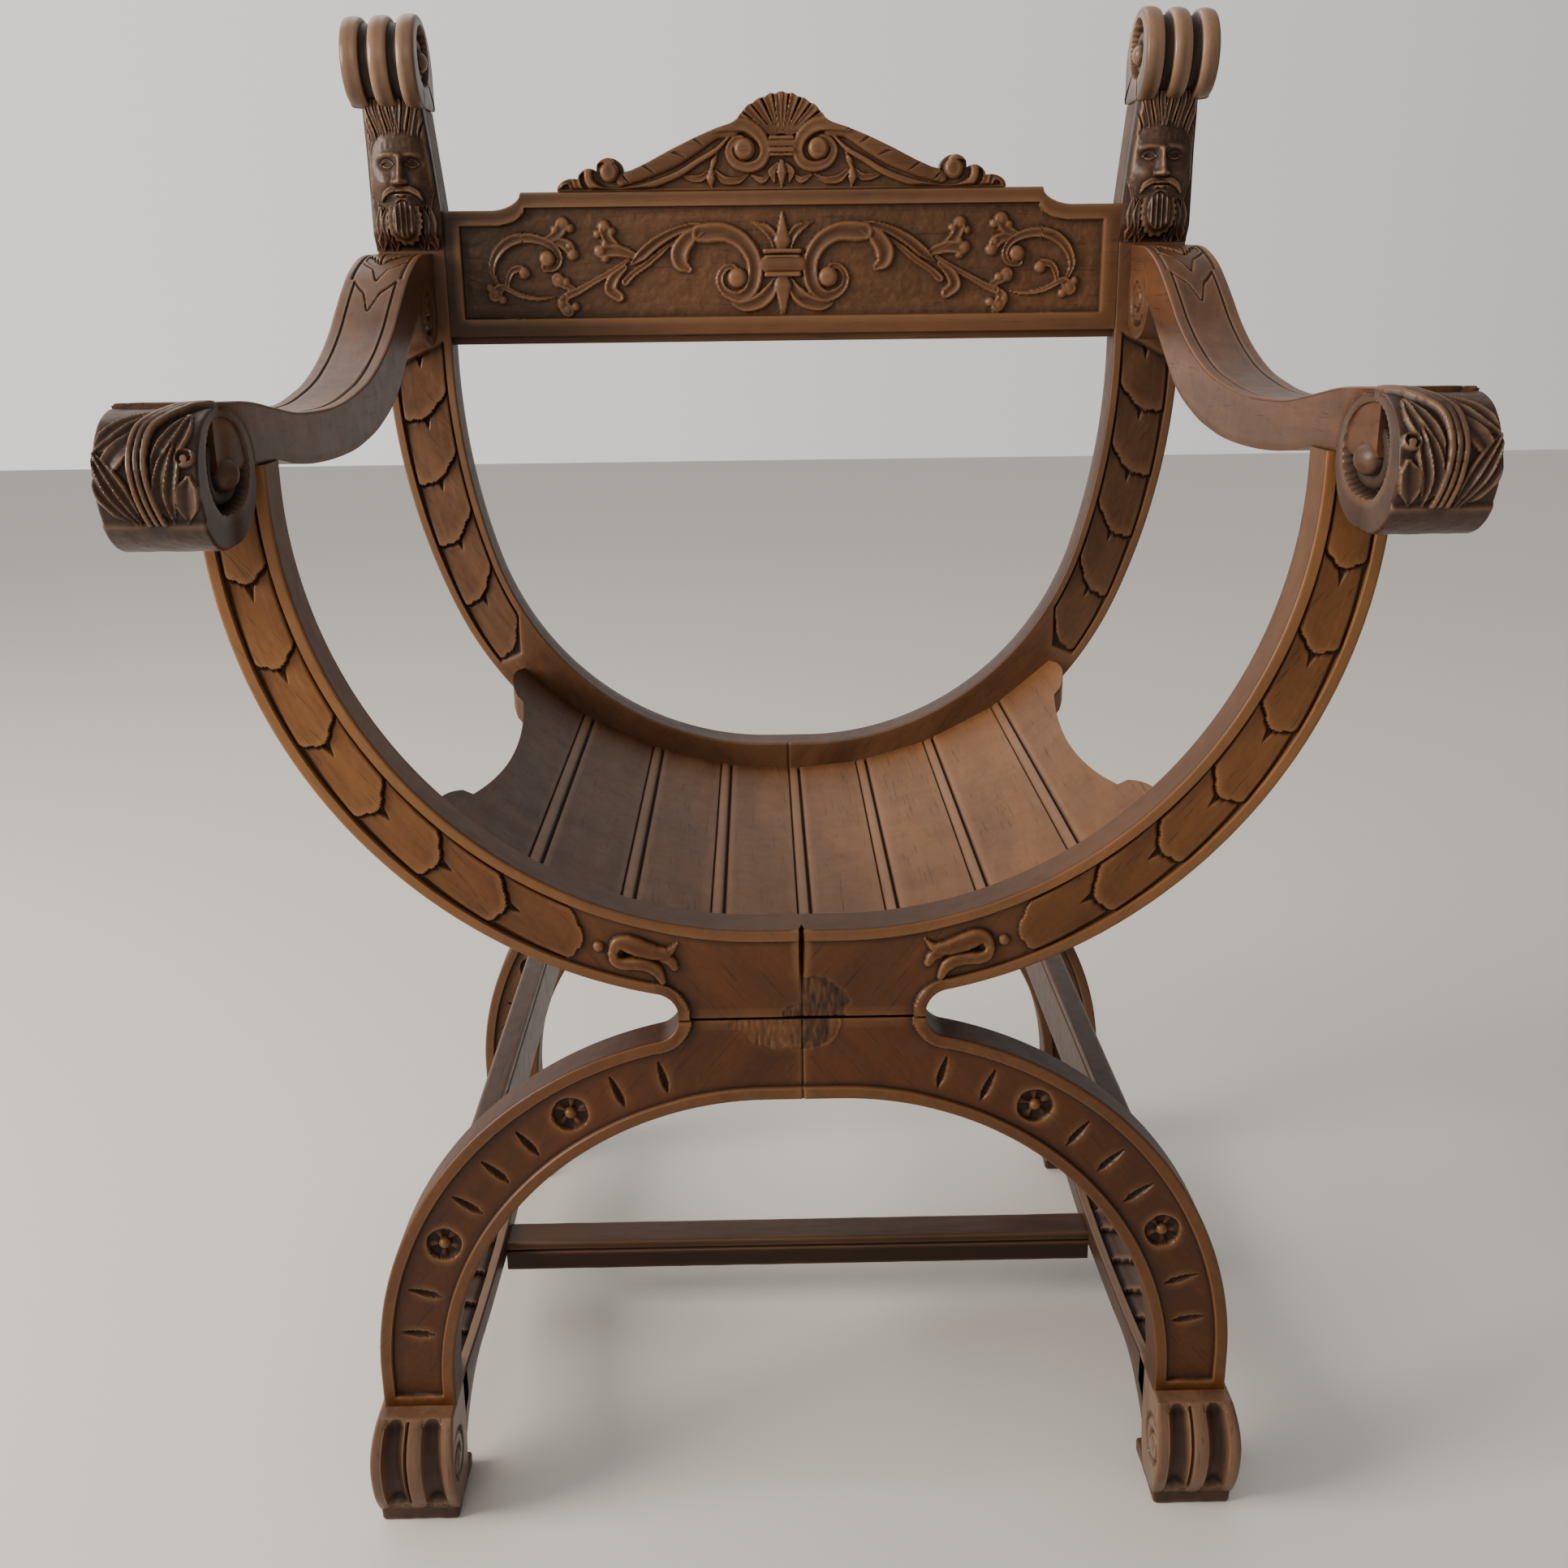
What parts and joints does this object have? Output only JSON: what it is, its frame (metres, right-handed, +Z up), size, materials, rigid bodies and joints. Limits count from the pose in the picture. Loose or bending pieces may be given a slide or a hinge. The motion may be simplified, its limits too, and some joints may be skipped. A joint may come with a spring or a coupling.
{
  "type": "savonarola chair",
  "caption": "Carved X-frame armchair with a hollow boarded seat, a carved back panel and shell crest, masks and rolls on the uprights, scrolled arms and scroll feet.",
  "frame": {"origin": "middle of the chair's footprint, on the floor", "axes": "+X to the right of someone who looks at the chair's front, which is the sitter's left, +Y to the back, +Z up"},
  "size_m": [0.684, 0.5466, 0.949],
  "materials": {
    "walnut_frame": "waxed walnut",
    "walnut_seat": "waxed walnut, worn by sitting",
    "walnut_panel": "carved and waxed walnut",
    "walnut_arm": "waxed walnut, polished by hands",
    "walnut_dark": "carved walnut with dark old wax",
    "beech_dowel": "bare beech"
  },
  "bodies": {
    "root": {"arm_dowels": "beech_dowel", "back_panel": "walnut_panel", "crest": "walnut_panel", "crest_dowels": "beech_dowel", "cross_stretcher": "walnut_frame", "front_frame_dowels": "beech_dowel", "front_lower_left": "walnut_frame", "front_lower_right": "walnut_frame", "front_upper_left": "walnut_frame", "front_upper_right": "walnut_frame", "head_dowels": "beech_dowel", "left_arm": "walnut_arm", "left_front_shoe": "walnut_dark", "left_head": "walnut_dark", "left_rear_shoe": "walnut_dark", "left_runner": "walnut_dark", "left_side_rail": "walnut_frame", "rear_frame_dowels": "beech_dowel", "rear_lower_left": "walnut_frame", "rear_lower_right": "walnut_frame", "rear_upper_left": "walnut_frame", "rear_upper_right": "walnut_frame", "right_arm": "walnut_arm", "right_front_shoe": "walnut_dark", "right_head": "walnut_dark", "right_rear_shoe": "walnut_dark", "right_runner": "walnut_dark", "right_side_rail": "walnut_frame", "seat_board_1": "walnut_seat", "seat_board_2": "walnut_seat", "seat_board_3": "walnut_seat", "seat_board_4": "walnut_seat", "seat_board_5": "walnut_seat", "seat_board_6": "walnut_seat", "seat_board_7": "walnut_seat", "seat_board_8": "walnut_seat"}
  },
  "joints": []
}
